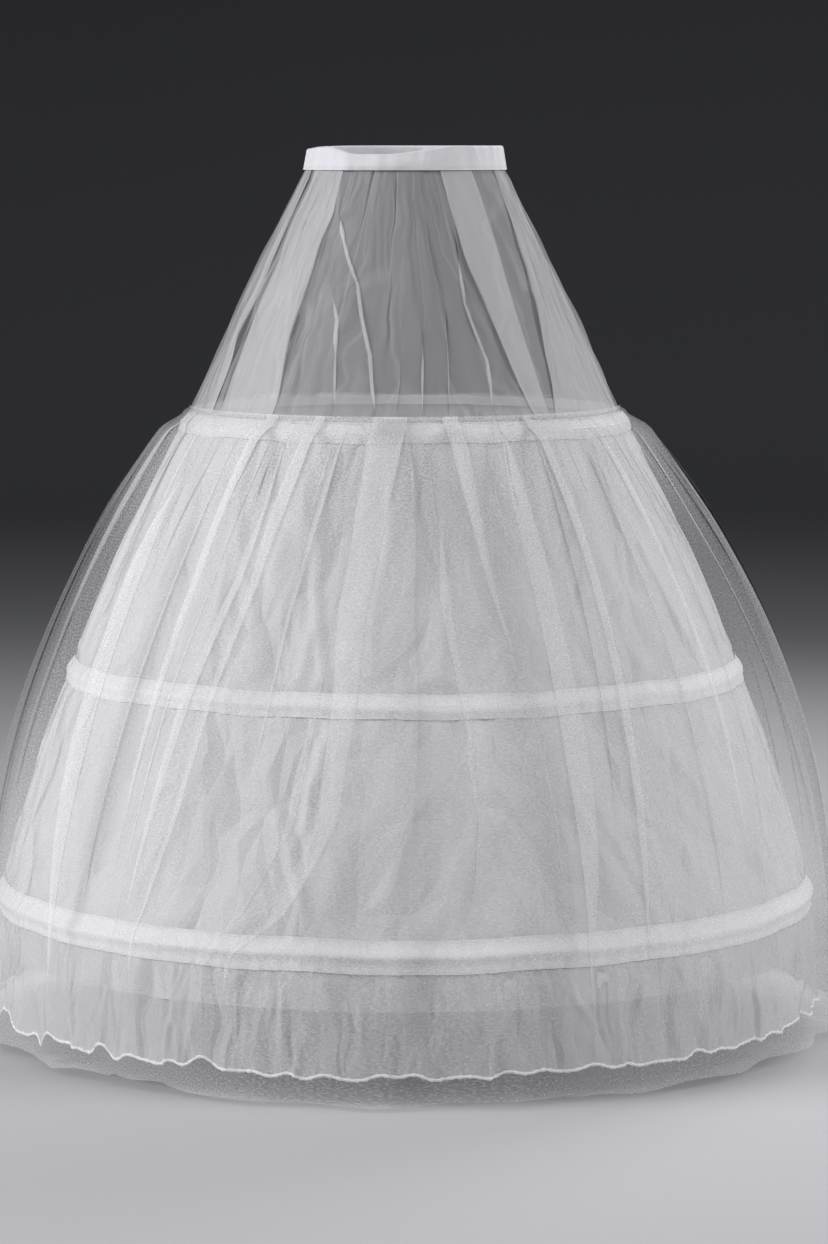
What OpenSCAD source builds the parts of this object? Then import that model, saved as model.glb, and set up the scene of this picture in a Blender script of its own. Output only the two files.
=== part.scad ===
// Three-hoop petticoat: an elastic waistband, a pleated yoke, two lining tiers with a sprung hoop
// in a sewn casing at each level, a rippled flounce, and a loose gathered net overlay outside.
// Millimetres, +Z up, front towards -Y. The origin is the middle of the waist opening.

/* [Waist] */
// Diameter of the opening that grips the waist
waist_d = 200; // [170:1:250]
// Height of the waistband
waistband_h = 25; // [20:1:45]
// Thickness of the waistband cloth
band_cloth = 0.8; // [0.5:0.1:1.2]
// Thickness of the elastic tape inside the waistband
elastic_t = 1.4; // [0.8:0.1:2]

/* [Yoke] */
// Thickness of the yoke cloth
yoke_t = 0.5; // [0.4:0.1:0.7]
// How far the yoke is tucked up into the waistband
yoke_tuck = 5; // [3:0.5:8]
// Angles of the pleat folds on the wearer's left, from the centre front (degrees)
left_side_pleats = [21, 62, 102, 142];
// Angles of the pleat folds on the wearer's right, from the centre front (degrees)
right_side_pleats = [37, 72, 107, 142];
// Width of each pleat's overlap at the waist (degrees)
pleat_overlap = 18; // [8:1:24]
// Width of each pleat's overlap left at the hip seam (degrees)
pleat_overlap_hip = 13; // [3:0.5:16]
// Room between the layers of a pleat halfway down the yoke
pleat_lift = 4; // [1:0.5:6]

/* [Hoops] */
// Wall diameter at the top hoop
hoop_top_d = 464; // [400:2:540]
// Wall diameter at the middle hoop
hoop_middle_d = 706; // [640:2:760]
// Wall diameter at the bottom hoop
hoop_bottom_d = 858; // [800:2:960]
// Drop of the top hoop below the middle of the waistband
hoop_top_drop = 275; // [220:1:320]
// Drop of the middle hoop below the middle of the waistband
hoop_middle_drop = 535; // [460:1:600]
// Drop of the bottom hoop below the middle of the waistband
hoop_bottom_drop = 770; // [700:1:860]
// Diameter of the coated spring wire in each hoop
wire_d = 3; // [2:0.1:4]
// Length of the ferrule that joins the ends of a hoop
ferrule_l = 45; // [25:1:80]
// Wall of that ferrule
ferrule_wall = 0.5; // [0.3:0.1:0.8]
// Space between the two ends of the wire inside the ferrule
wire_end_gap = 4; // [1:0.5:10]

/* [Casings] */
// Distance from the hip seam down to the top casing
seam_to_casing = 3; // [2:0.5:10]
// Height of the top casing tape
casing_top_h = 18; // [14:1:30]
// Height of the middle casing tape
casing_middle_h = 24; // [16:1:40]
// Height of the bottom casing tape
casing_bottom_h = 33; // [20:1:50]
// Thickness of the casing tape
casing_t = 0.7; // [0.5:0.1:1]

/* [Lining] */
// Thickness of the lining cloth
lining_t = 0.6; // [0.4:0.1:1]
// Outward bow of a tier between its two hoops
tier_bow = 4; // [0:0.5:10]
// How far the lining hangs below the bottom casing, behind the flounce
lining_tail = 38; // [15:1:60]
// Number of panels sewn together round each tier, with a seam at the centre back
lining_panels = 5; // [3:1:8]

/* [Flounce] */
// Thickness of the flounce cloth
flounce_t = 0.5; // [0.4:0.1:0.8]
// Thickness of its overlocked hem
flounce_hem_t = 1.6; // [1:0.1:2.4]
// Drop of the flounce from the bottom casing to its hem
flounce_drop = 104; // [70:1:150]
// Outward flare of the flounce at its hem, to the inside of its ripples
flounce_flare = 5; // [2:0.5:12]
// Depth of the ripples at the hem, each way
flounce_ripple = 4; // [1:0.5:6]
// Number of ripples round the hem
flounce_ripples = 30; // [16:1:36]

/* [Overlay] */
// Thickness of the net
net_t = 0.5; // [0.4:0.1:0.8]
// Diameter of the overlay at its lower edge
net_hem_d = 922; // [900:2:1040]
// How far the overlay hangs below the flounce
net_overhang = 15; // [5:1:60]
// Step out of the gathers just under the hip seam
net_puff = 16; // [6:1:26]
// How quickly the overlay flares out, higher is quicker
net_flare_power = 2.3; // [1.8:0.1:2.8]
// Depth of the hanging folds, each way
net_fold = 9; // [3:0.5:12]
// Number of hanging folds
net_folds = 22; // [14:1:26]
// Unevenness of the raw lower edge, each way
net_edge_wave = 5; // [0:0.5:10]

/* [Hidden] */
$fn = 180;

// Sewing clearance between layers that meet
sew_gap = 0.2;
// Angular step of the pleated yoke's plain panels, and steps round the flounce and the overlay
panel_step = 6;
layer_steps = 3;
flounce_steps = 120;
net_steps = 112;
profile_steps = 6;
casing_steps = 14;

// How far a faceted wall cuts inside its own circle
function facet_sag(r, step) = r * (1 - cos(step / 2));
function mix(a, b, t) = a + (b - a) * t;
function smooth(t) = let (c = min(1, max(0, t))) c * c * (3 - 2 * c);

// A point at radius r and height z, at angle a from the centre front towards +X
function at(r, a, z) = [r * sin(a), -r * cos(a), z];

// Waist: the pleats' three layers and the elastic share one channel in the folded band
waist_r = waist_d / 2;
layer_pitch = yoke_t + 0.3;
pleat_stack = 2 * layer_pitch + yoke_t;
channel_w = max(pleat_stack, elastic_t) + 2 * sew_gap + 2 * facet_sag(waist_r + 4, panel_step);
channel_r = waist_r + band_cloth + channel_w / 2;
band_r = waist_r + 2 * band_cloth + channel_w;
fold_r = (band_r - waist_r) / 2;
band_top = waistband_h / 2;
band_bottom = -waistband_h / 2;

// Heights and wall radii of the three hoops, from the top down
hoop_z = [-hoop_top_drop, -hoop_middle_drop, -hoop_bottom_drop];
hoop_r = [hoop_top_d, hoop_middle_d, hoop_bottom_d] / 2;
casing_h = [casing_top_h, casing_middle_h, casing_bottom_h];

// The hip seam lies just above the top casing, on the straight line from waist to top hoop
yoke_slope = (hoop_r[0] - band_r) / (band_bottom - hoop_z[0]);
seam_z = hoop_z[0] + casing_top_h / 2 + seam_to_casing;
seam_r = hoop_r[0] - yoke_slope * (seam_z - hoop_z[0]);

// Outer radius of the lining at height z, through all three hoops
function tier_r(z, i) =
    let (t = (hoop_z[i] - z) / (hoop_z[i] - hoop_z[i + 1]))
    mix(hoop_r[i], hoop_r[i + 1], t) + 4 * tier_bow * t * (1 - t);
function lining_r(z) =
    z >= hoop_z[0] ? hoop_r[0] - yoke_slope * (z - hoop_z[0]) :
    z >= hoop_z[1] ? tier_r(z, 0) :
    z >= hoop_z[2] ? tier_r(z, 1) :
    hoop_r[2];
tail_z = hoop_z[2] - casing_bottom_h / 2 - lining_tail;

// Hoop wires: the ferrule's outside sets how far the wire stands off the sloping wall
ferrule_gap = 0.15;
ferrule_r = wire_d / 2 + ferrule_gap + ferrule_wall;
function wall_slope(i) =
    let (j = min(i, 1), span = hoop_z[j] - hoop_z[j + 1])
    max(yoke_slope * (i == 0 ? 1 : 0), (hoop_r[j + 1] - hoop_r[j] + 4 * tier_bow) / span);
function wire_standoff(i) = (ferrule_r + sew_gap) * sqrt(1 + pow(wall_slope(i), 2));
function wire_r(i) = hoop_r[i] + wire_standoff(i);
function casing_bulge(i) = 2 * wire_standoff(i);
casing_out = max([for (i = [0:2]) casing_bulge(i)]) + casing_t + sew_gap;

// Inner face of casing i at height z: on the lining at both edges, clear of the wire between them
function casing_in(i, z) =
    let (t = abs(z - hoop_z[i]) / (casing_h[i] / 2))
    lining_r(z) + sew_gap + casing_bulge(i) * (1 - pow(t, 4));

// Flounce: hangs from the lower edge of the bottom casing, over the tail of the lining
flounce_top = hoop_z[2] - casing_bottom_h / 2 - sew_gap;
flounce_bottom = flounce_top - flounce_drop;
flounce_top_r = hoop_r[2] + sew_gap + flounce_t + facet_sag(hoop_r[2], 360 / flounce_steps);
function flounce_fall(z) = (flounce_top - z) / flounce_drop;
function flounce_wave(z) = flounce_ripple * smooth(flounce_fall(z));
function flounce_r(z) = flounce_top_r + flounce_flare * flounce_fall(z) + flounce_wave(z);

// Overlay: starts over the hip seam, puffs out, flares to its hem and rests outside the hoops
net_lap = 6;
net_top = seam_z + net_lap;
net_bottom = flounce_bottom - net_overhang;
net_seam_r = seam_r + (pleat_stack + net_t) / 2 + sew_gap + facet_sag(seam_r, 360 / net_steps);
net_top_r = net_seam_r - yoke_slope * net_lap;
net_hem_r = net_hem_d / 2;
function net_wave(z) = net_fold * smooth((net_top - 8 - z) / 110);
function net_curve(z) =
    z >= seam_z ? net_seam_r - yoke_slope * (z - seam_z) :
    let (
        start = net_seam_r + net_puff * smooth((seam_z - z) / 20),
        fall = (seam_z - z) / (seam_z - net_bottom)
    )
    start + (net_hem_r - start) * (1 - pow(1 - fall, net_flare_power));
function under_net(z) =
    z >= seam_z ? 0 :
    z >= flounce_top ? lining_r(z) + casing_out :
    flounce_r(max(z, flounce_bottom)) + flounce_wave(max(z, flounce_bottom)) + flounce_hem_t;
function net_r(z) = max(net_curve(z), under_net(z) + net_t + sew_gap + net_wave(z));

// Two runs of folds that beat against each other, from -1 to 1
function folds(a, count, turn) = 0.62 * cos(count * a + turn) + 0.38 * cos((count - 5) * a + 140 - turn);

// Sideways direction of a closed loop of points at place i
function loop_side(loop, i) =
    let (n = len(loop), d = loop[(i + 1) % n] - loop[(i + n - 1) % n])
    [d[1], -d[0], 0] / norm([d[0], d[1]]);

// A closed wall of cloth through stacked loops of points, each loop with its own thickness
module cloth_wall(loops, thickness) {
    n = len(loops[0]);
    rows = len(loops);
    side = n * rows;
    points = [
        for (face = [0.5, -0.5], k = [0:rows - 1], i = [0:n - 1])
            loops[k][i] + loop_side(loops[k], i) * thickness[k] * face
    ];
    walls = [
        for (k = [0:rows - 2], i = [0:n - 1])
            let (j = (i + 1) % n, a = k * n + i, b = k * n + j, c = a + n, d = b + n)
            each [[a, b, c], [b, d, c], [side + a, side + c, side + b], [side + b, side + c, side + d]]
    ];
    rims = [
        for (i = [0:n - 1])
            let (j = (i + 1) % n, e = (rows - 1) * n)
            each [
                [i, side + i, j], [j, side + i, side + j],
                [e + i, e + j, side + e + i], [e + j, side + e + j, side + e + i]
            ]
    ];
    polyhedron(points = points, faces = concat(walls, rims), convexity = 10);
}

// Plain cloth between two stops, in n equal steps that leave out both ends
function panel_stops(from, to, n) = [for (k = [1:1:n - 1]) mix(from, to, k / n)];
function panel_count(angle) = max(1, ceil(angle / panel_step));
function layer_stops(from, to) = concat([from], panel_stops(from, to, layer_steps), [to]);

// One knife pleat as [angle, layer] stops: under the fold, back behind it, and out over it
function pleat_stops(a, overlap, turn) = concat(
    layer_stops([a, -1], [a + overlap - turn, -1]),
    [[a + overlap, -0.5]],
    layer_stops([a + overlap - turn, 0], [a + turn, 0]),
    [[a, 0.5]],
    layer_stops([a + turn, 1], [a + overlap, 1])
);

// Half a yoke from the centre front (0 degrees) to the centre back (180 degrees)
function half_yoke(pleats, overlap, turn) =
    let (
        last = len(pleats) - 1,
        front = [0, 0],
        back = [180, 0],
        body = [
            for (k = [0:last])
                let (
                    stops = pleat_stops(pleats[k], overlap, turn),
                    next = k < last ? [pleats[k + 1], -1] : back,
                    n = panel_count(next[0] - pleats[k] - pleat_overlap_hip)
                )
                each concat(stops, panel_stops(stops[len(stops) - 1], next, n))
        ]
    )
    concat([front], panel_stops(front, [pleats[0], -1], panel_count(pleats[0])), body, [back]);

// A whole loop of the yoke: the wearer's left half, then the right half mirrored
function yoke_loop(r, z, overlap, pitch, turn) =
    let (
        left = half_yoke(left_side_pleats, overlap, turn),
        right = half_yoke(right_side_pleats, overlap, turn),
        n = len(right)
    )
    concat(
        [for (s = left) at(r + s[1] * pitch, s[0], z)],
        [for (k = [n - 2:-1:1]) at(r + right[k][1] * pitch, -right[k][0], z)]
    );

module ring(points) {
    rotate_extrude() polygon(points);
}

// A casing tape: a shallow bulging tunnel, open towards the lining
module casing(i) {
    z = [for (k = [0:casing_steps]) hoop_z[i] + casing_h[i] * (0.5 - k / casing_steps)];
    ring(concat(
        [for (h = z) [casing_in(i, h), h]],
        [for (k = [casing_steps:-1:0]) [casing_in(i, z[k]) + casing_t, z[k]]]
    ));
}

// A hoop: one length of wire bent round, its ends facing each other at the centre back
module hoop(i) {
    gap = wire_end_gap / wire_r(i) * 180 / PI;
    rotate([0, 0, 90 + gap / 2])
        rotate_extrude(angle = 360 - gap)
            translate([wire_r(i), 0])
                circle(d = wire_d, $fn = 32);
}

// The ferrule over both ends of a hoop
module ferrule(i) {
    sweep = ferrule_l / wire_r(i) * 180 / PI;
    rotate([0, 0, 90 - sweep / 2])
        rotate_extrude(angle = sweep)
            translate([wire_r(i), 0])
                difference() {
                    circle(r = ferrule_r, $fn = 32);
                    circle(d = wire_d + 2 * ferrule_gap, $fn = 32);
                }
}

// A lining tier between two heights, as panels that meet at upright seams
module tier(top, bottom, breaks) {
    z = concat([top], breaks, [bottom]);
    n = len(z) - 1;
    gap = sew_gap / lining_r(top) * 180 / PI;
    for (panel = [0:lining_panels - 1])
        rotate([0, 0, 90 + gap / 2 + panel * 360 / lining_panels])
            rotate_extrude(angle = 360 / lining_panels - gap)
                polygon(concat(
                    [for (h = z) [lining_r(h), h]],
                    [for (k = [n:-1:0]) [lining_r(z[k]) - lining_t, z[k]]]
                ));
}

// Heights between two hoops where a bowed tier is drawn
function tier_breaks(i) = [
    for (k = [0:profile_steps]) mix(hoop_z[i], hoop_z[i + 1], k / profile_steps)
];

module band_section(inner, outer, top, bottom) {
    r = (outer - inner) / 2;
    translate([inner, bottom])
        square([outer - inner, top - bottom - r]);
    translate([inner + r, top - r])
        circle(r = r, $fn = 32);
}

module waistband() {
    color("white")
        rotate_extrude()
            difference() {
                band_section(waist_r, band_r, band_top, band_bottom);
                band_section(waist_r + band_cloth, band_r - band_cloth,
                             band_top - band_cloth, band_bottom - 1);
            }
}

module waist_elastic() {
    top = band_top - fold_r;
    bottom = band_bottom + yoke_tuck + sew_gap;
    color("ivory")
        translate([0, 0, bottom])
            rotate_extrude()
                translate([channel_r - elastic_t / 2, 0])
                    square([elastic_t, top - bottom]);
}

module yoke() {
    turn = 0.6;
    flat_end = 0.94;
    tuck = yoke_loop(channel_r, band_bottom + yoke_tuck, pleat_overlap, layer_pitch, turn);
    hang = [
        for (t = [0, 0.2, 0.45, 0.7, flat_end, 1])
            let (
                overlap = mix(pleat_overlap, pleat_overlap_hip, t),
                pitch = layer_pitch + pleat_lift * pow(sin(180 * min(1, t / flat_end)), 2)
            )
            yoke_loop(mix(channel_r, seam_r, t), mix(band_bottom, seam_z, t), overlap, pitch, turn)
    ];
    loops = concat([tuck], hang);
    color("whitesmoke", 0.75)
        cloth_wall(loops, [for (l = loops) yoke_t]);
}

// Tape inside the hip seam that the yoke, the lining and the overlay are sewn to
module hip_binding() {
    out = seam_r - pleat_stack / 2 - sew_gap - facet_sag(seam_r, panel_step)
        - yoke_slope * 0.5;
    color("white")
        translate([0, 0, seam_z - 8])
            rotate_extrude()
                translate([out - 0.8, 0])
                    square([0.8, 9]);
}

module top_casing() {
    color("white") casing(0);
}

module middle_casing() {
    color("white") casing(1);
}

module bottom_casing() {
    color("white") casing(2);
}

module top_hoop() {
    color("gainsboro") translate([0, 0, hoop_z[0]]) hoop(0);
}

module middle_hoop() {
    color("gainsboro") translate([0, 0, hoop_z[1]]) hoop(1);
}

module bottom_hoop() {
    color("gainsboro") translate([0, 0, hoop_z[2]]) hoop(2);
}

module top_ferrule() {
    color("silver") translate([0, 0, hoop_z[0]]) ferrule(0);
}

module middle_ferrule() {
    color("silver") translate([0, 0, hoop_z[1]]) ferrule(1);
}

module bottom_ferrule() {
    color("silver") translate([0, 0, hoop_z[2]]) ferrule(2);
}

module upper_tier() {
    color("whitesmoke", 0.85)
        tier(seam_z - sew_gap - lining_t, hoop_z[1], [for (k = [0:profile_steps - 1]) tier_breaks(0)[k]]);
}

module lower_tier() {
    color("whitesmoke", 0.85)
        tier(hoop_z[1] - sew_gap, tail_z, [for (k = [1:profile_steps]) tier_breaks(1)[k]]);
}

module flounce() {
    falls = [0, 0.3, 0.65, 0.97, 1];
    step = 360 / flounce_steps;
    loops = [
        for (f = falls)
            let (z = mix(flounce_top, flounce_bottom, f))
            [
                for (i = [0:flounce_steps - 1])
                    let (w = flounce_wave(z) * folds(i * step, flounce_ripples, 50))
                    at(flounce_r(z) + w, i * step, z)
            ]
    ];
    color("white", 0.85)
        cloth_wall(loops, [flounce_t, flounce_t, flounce_t, flounce_hem_t, flounce_hem_t]);
}

module net_overlay() {
    falls = [0, 0.012, 0.032, 0.085, 0.18, 0.3, 0.44, 0.6, 0.8, 1];
    step = 360 / net_steps;
    heights = concat([net_top], [for (f = falls) mix(seam_z, net_bottom, f)]);
    loops = [
        for (z = heights)
            let (f = (seam_z - z) / (seam_z - net_bottom))
            [
                for (i = [0:net_steps - 1])
                    let (
                        w = net_wave(z) * folds(i * step, net_folds, 25 + 40 * f),
                        edge = net_edge_wave * smooth((f - 0.8) / 0.2) * folds(i * step, 9, 70)
                    )
                    at(net_r(z) + w, i * step, z + edge)
            ]
    ];
    color("white", 0.3)
        cloth_wall(loops, [for (l = loops) net_t]);
}

waistband();
waist_elastic();
yoke();
hip_binding();
top_casing();
middle_casing();
bottom_casing();
top_hoop();
middle_hoop();
bottom_hoop();
top_ferrule();
middle_ferrule();
bottom_ferrule();
upper_tier();
lower_tier();
flounce();
net_overlay();
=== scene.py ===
"""Dresses a three-hoop petticoat: sheer pleated yoke, creased lining, hoop casings, rippled flounce and net overlay."""
import logging
import math
from dataclasses import dataclass, field, replace
from enum import Enum
from typing import Any, ClassVar

import bpy
import numpy as np
from mathutils import Euler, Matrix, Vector


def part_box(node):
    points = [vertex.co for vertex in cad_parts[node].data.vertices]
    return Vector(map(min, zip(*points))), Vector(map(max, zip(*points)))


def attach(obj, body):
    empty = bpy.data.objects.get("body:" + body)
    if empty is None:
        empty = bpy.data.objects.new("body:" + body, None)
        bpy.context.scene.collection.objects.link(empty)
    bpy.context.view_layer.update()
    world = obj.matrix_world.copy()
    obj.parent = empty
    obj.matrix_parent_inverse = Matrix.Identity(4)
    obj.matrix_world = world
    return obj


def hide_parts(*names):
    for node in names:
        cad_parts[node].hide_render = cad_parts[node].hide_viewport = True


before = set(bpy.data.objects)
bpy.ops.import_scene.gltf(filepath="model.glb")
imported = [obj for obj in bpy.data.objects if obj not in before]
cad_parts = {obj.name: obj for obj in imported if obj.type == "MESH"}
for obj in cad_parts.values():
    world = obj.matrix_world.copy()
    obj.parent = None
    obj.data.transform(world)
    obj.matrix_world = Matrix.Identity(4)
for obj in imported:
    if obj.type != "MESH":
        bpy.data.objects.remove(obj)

log = logging.getLogger("petticoat")

MM = 0.001
BODY = "root"
UV_NAME = "weave"
PHOTO_H = 1244
TURN = 2.0 * math.pi
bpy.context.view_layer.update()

Array = np.ndarray


def ease(t: Array | float) -> Array | float:
    """Smooth step from 0 to 1 as t goes from 0 to 1."""
    c = np.clip(t, 0.0, 1.0)
    return c * c * (3.0 - 2.0 * c)


def turn(angle: Array) -> Array:
    """Wraps angles in radians to the range from minus half a turn to half a turn."""
    return (angle + math.pi) % TURN - math.pi


def linear(hex_code: str) -> tuple[float, float, float, float]:
    """Turns an sRGB hex colour into linear RGBA.

    Args:
        hex_code: Six hex digits, such as "F4F4F2".

    Returns:
        The linear colour with full alpha.
    """
    srgb = [int(hex_code[k:k + 2], 16) / 255.0 for k in (0, 2, 4)]
    red, green, blue = (c / 12.92 if c <= 0.04045 else ((c + 0.055) / 1.055) ** 2.4 for c in srgb)
    return (red, green, blue, 1.0)


def add_node(tree: bpy.types.NodeTree, kind: str, inputs: dict[str | int, Any] | None = None,
             **settings: Any) -> bpy.types.Node:
    """Adds a node with its settings, its socket values and its incoming links.

    Args:
        tree: The material's node tree.
        kind: The node's type name.
        inputs: Socket name or number to a value, or to the output socket that feeds it.
        settings: Properties of the node itself.

    Returns:
        The new node.
    """
    node = tree.nodes.new(kind)
    for name, value in settings.items():
        setattr(node, name, value)
    for key, value in (inputs or {}).items():
        if isinstance(value, bpy.types.NodeSocket):
            tree.links.new(value, node.inputs[key])
        else:
            node.inputs[key].default_value = value
    return node


class Weave(Enum):
    """How a cloth's threads run."""

    PLAIN = "plain"
    RIB = "rib"
    NET = "net"


@dataclass(frozen=True)
class ClothFinish:
    """A woven cloth or net: near white, thin, and creased from being folded.

    Attributes:
        name: The cloth's common name.
        colour: Colour of the cloth, as sRGB hex.
        shade: Colour between the threads; on creased cloth, colour along the creases instead, which is painted light,
            as sRGB hex.
        thread_mm: Thread spacing as drawn. Real threads are 0.2 to 0.5 mm apart, too fine to show in the render,
            so they are drawn coarser.
        opacity: How much one layer covers.
        roughness: Surface roughness.
        sheen: Weight of the soft light at grazing angles.
        crease_mm: Width of the flat facets between creases, or 0 for none.
        crease_slope: Steepness of those facets.
        weave: How the threads run.
        stitch_mm: Distances of sewn rows from the piece's top edge.
        panel_mm: Width of the panels that the piece is sewn from, or 0 for one panel.
        round_light: How far its light follows the round garment and not each fold. Threads of a sheer cloth catch
            light on all sides, so a turned fold stays as bright as the rest.
        crease_cover: How much more one layer covers along its creases, where the threads are turned on edge.
        crease_long: How far the facets are drawn out down the cloth.
        gather_mm: Length of the gathers at the top edge, where the same threads crowd into less room, or 0.
        gather_cover: How much more one layer covers at the top edge.
    """

    name: str
    colour: str
    shade: str
    thread_mm: float
    opacity: float
    roughness: float
    sheen: float
    crease_mm: float
    crease_slope: float
    weave: Weave = Weave.PLAIN
    stitch_mm: tuple[float, ...] = ()
    panel_mm: float = 0.0
    round_light: float = 0.0
    crease_cover: float = 0.0
    crease_long: float = 1.0
    gather_mm: float = 0.0
    gather_cover: float = 0.0

    def material(self) -> bpy.types.Material:
        """Builds the cloth's material on its own flat coordinates, which are in metres.

        Returns:
            The finished material.
        """
        made = bpy.data.materials.new(self.name)
        made.use_nodes = True
        tree = made.node_tree
        shader = tree.nodes["Principled BSDF"]
        flat = add_node(tree, "ShaderNodeUVMap", uv_map=UV_NAME).outputs["UV"]
        marks = self._threads(tree, flat)
        normal = add_node(tree, "ShaderNodeNewGeometry").outputs["Normal"]
        if self.weave is not Weave.NET:
            normal = add_node(tree, "ShaderNodeBump", {
                "Height": marks, "Strength": 0.3, "Distance": 0.03 * self.thread_mm * MM,
            }).outputs["Normal"]
        if self.crease_mm:
            marks, normal = self._creases(tree, flat, normal)
        # Painted light: on creased cloth the second colour lies along the crease lines, so darker creases are painted
        # shade
        # and paler creases are a painted highlight. On cloth without creases it lies between the threads.
        weave_and_crease_light = add_node(tree, "ShaderNodeMix", {
            "Factor": marks, "A": linear(self.shade), "B": linear(self.colour),
        }, data_type="RGBA")
        split = add_node(tree, "ShaderNodeSeparateXYZ", {0: flat})
        for row in self.stitch_mm:
            normal = self._stitches(tree, split, row, normal)
        if self.panel_mm:
            normal = self._panel_seams(tree, split, normal)
        if self.round_light:
            normal = self._round_light(tree, normal)
        tree.links.new(weave_and_crease_light.outputs["Result"], shader.inputs["Base Color"])
        tree.links.new(normal, shader.inputs["Normal"])
        shader.inputs["Roughness"].default_value = self.roughness
        shader.inputs["Alpha"].default_value = self.opacity
        if self.weave is Weave.NET:
            tree.links.new(self._net_cover(tree, split, marks), shader.inputs["Alpha"])
        elif self.crease_cover:
            cover = add_node(tree, "ShaderNodeMapRange", {
                "Value": marks, "From Min": 0.0, "From Max": 0.06,
                "To Min": self.opacity + self.crease_cover, "To Max": self.opacity,
            }, interpolation_type="SMOOTHSTEP")
            tree.links.new(cover.outputs["Result"], shader.inputs["Alpha"])
        shader.inputs["Sheen Weight"].default_value = self.sheen
        shader.inputs["Sheen Roughness"].default_value = 0.4
        shader.inputs["Specular IOR Level"].default_value = 0.3
        return made

    def _threads(self, tree: bpy.types.NodeTree, flat: bpy.types.NodeSocket) -> bpy.types.NodeSocket:
        """Draws the crossing threads.

        Args:
            tree: The material's node tree.
            flat: The cloth's flat coordinates.

        Returns:
            A socket that is high on the threads and low between them.
        """
        if self.weave is Weave.NET:
            return add_node(tree, "ShaderNodeTexNoise", {
                "Vector": flat, "Scale": 1.0 / (self.thread_mm * MM), "Detail": 0.0,
            }, noise_dimensions="2D").outputs["Fac"]
        period = TURN / 20.0
        directions = ("X", "X") if self.weave is Weave.RIB else ("X", "Y")
        waves = [
            add_node(tree, "ShaderNodeTexWave", {
                "Vector": flat, "Scale": period / (self.thread_mm * MM), "Distortion": 0.0,
            }, bands_direction=way).outputs["Fac"]
            for way in directions
        ]
        return add_node(tree, "ShaderNodeMath", {0: waves[0], 1: waves[1]}, operation="MAXIMUM").outputs[0]

    def _net_cover(self, tree: bpy.types.NodeTree, split: bpy.types.Node,
                   marks: bpy.types.NodeSocket) -> bpy.types.NodeSocket:
        """Works out how much a net covers: more on its threads, and more where it is gathered.

        Args:
            tree: The material's node tree.
            split: The cloth's flat coordinates, apart.
            marks: Its threads.

        Returns:
            A socket with the cover of one layer.
        """
        grain = add_node(tree, "ShaderNodeMapRange", {
            "Value": marks, "From Min": 0.25, "From Max": 0.75, "To Min": 0.6, "To Max": 1.4,
        }).outputs["Result"]
        cover = add_node(tree, "ShaderNodeMapRange", {
            "Value": split.outputs["Y"], "From Min": 0.0, "From Max": self.gather_mm * MM,
            "To Min": self.opacity + self.gather_cover, "To Max": self.opacity,
        }, interpolation_type="SMOOTHSTEP").outputs["Result"]
        return add_node(tree, "ShaderNodeMath", {0: grain, 1: cover}, operation="MULTIPLY").outputs[0]

    def _creases(self, tree: bpy.types.NodeTree, flat: bpy.types.NodeSocket,
                 normal: bpy.types.NodeSocket) -> tuple[bpy.types.NodeSocket, bpy.types.NodeSocket]:
        """Presses in what is left of sharp folds: flat facets that meet in ridges and valleys, large and small.

        Args:
            tree: The material's node tree.
            flat: The cloth's flat coordinates.
            normal: The surface so far.

        Returns:
            A socket that is high in the middle of the facets, and the surface with the creases in it.
        """
        size = self.crease_mm * MM
        waver = add_node(tree, "ShaderNodeTexNoise", {"Vector": flat, "Scale": 0.8 / size, "Detail": 1.0},
                         noise_dimensions="2D").outputs["Color"]
        bent = add_node(tree, "ShaderNodeVectorMath", {0: waver, 1: (0.5 * size, 0.5 * size, 0.0), 2: flat},
                        operation="MULTIPLY_ADD").outputs[0]
        marks = waver
        for share, lean, long, steep in ((1.0, 0.35, 2.2, 1.0), (0.4, -0.6, 1.6, 0.85)):
            cell = size * share
            placed = add_node(tree, "ShaderNodeMapping", {
                "Vector": bent, "Rotation": (0.0, 0.0, lean),
                "Scale": (1.0 / cell, 1.0 / (long * self.crease_long * cell), 1.0),
            }).outputs["Vector"]
            facet = add_node(tree, "ShaderNodeTexVoronoi", {"Vector": placed, "Scale": 1.0, "Randomness": 1.0},
                             feature="DISTANCE_TO_EDGE", voronoi_dimensions="2D").outputs["Distance"]
            marks = facet if share == 1.0 else marks
            normal = add_node(tree, "ShaderNodeBump", {
                "Height": facet, "Strength": 1.0, "Distance": self.crease_slope * steep * cell, "Normal": normal,
            }).outputs["Normal"]
        return marks, normal

    @staticmethod
    def _stitches(tree: bpy.types.NodeTree, split: bpy.types.Node, row_mm: float,
                  normal: bpy.types.NodeSocket) -> bpy.types.NodeSocket:
        """Presses one sewn row into the cloth: 3 mm stitches in a line along the piece.

        Args:
            tree: The material's node tree.
            split: The cloth's flat coordinates, apart.
            row_mm: Distance of the row from the top edge.
            normal: The surface so far.

        Returns:
            The surface with the row in it.
        """
        across = add_node(tree, "ShaderNodeMath", {0: split.outputs["Y"], 1: row_mm * MM, 2: 0.8 * MM},
                          operation="COMPARE")
        dash = add_node(tree, "ShaderNodeMath", {0: split.outputs["X"], 1: 3.6 * MM}, operation="FLOORED_MODULO")
        sewn = add_node(tree, "ShaderNodeMath", {0: dash.outputs[0], 1: 2.8 * MM}, operation="LESS_THAN")
        mark = add_node(tree, "ShaderNodeMath", {0: across.outputs[0], 1: sewn.outputs[0]}, operation="MULTIPLY")
        return add_node(tree, "ShaderNodeBump", {
            "Height": mark.outputs[0], "Strength": 0.8, "Distance": 0.5 * MM, "Normal": normal,
        }, invert=True).outputs["Normal"]

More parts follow.
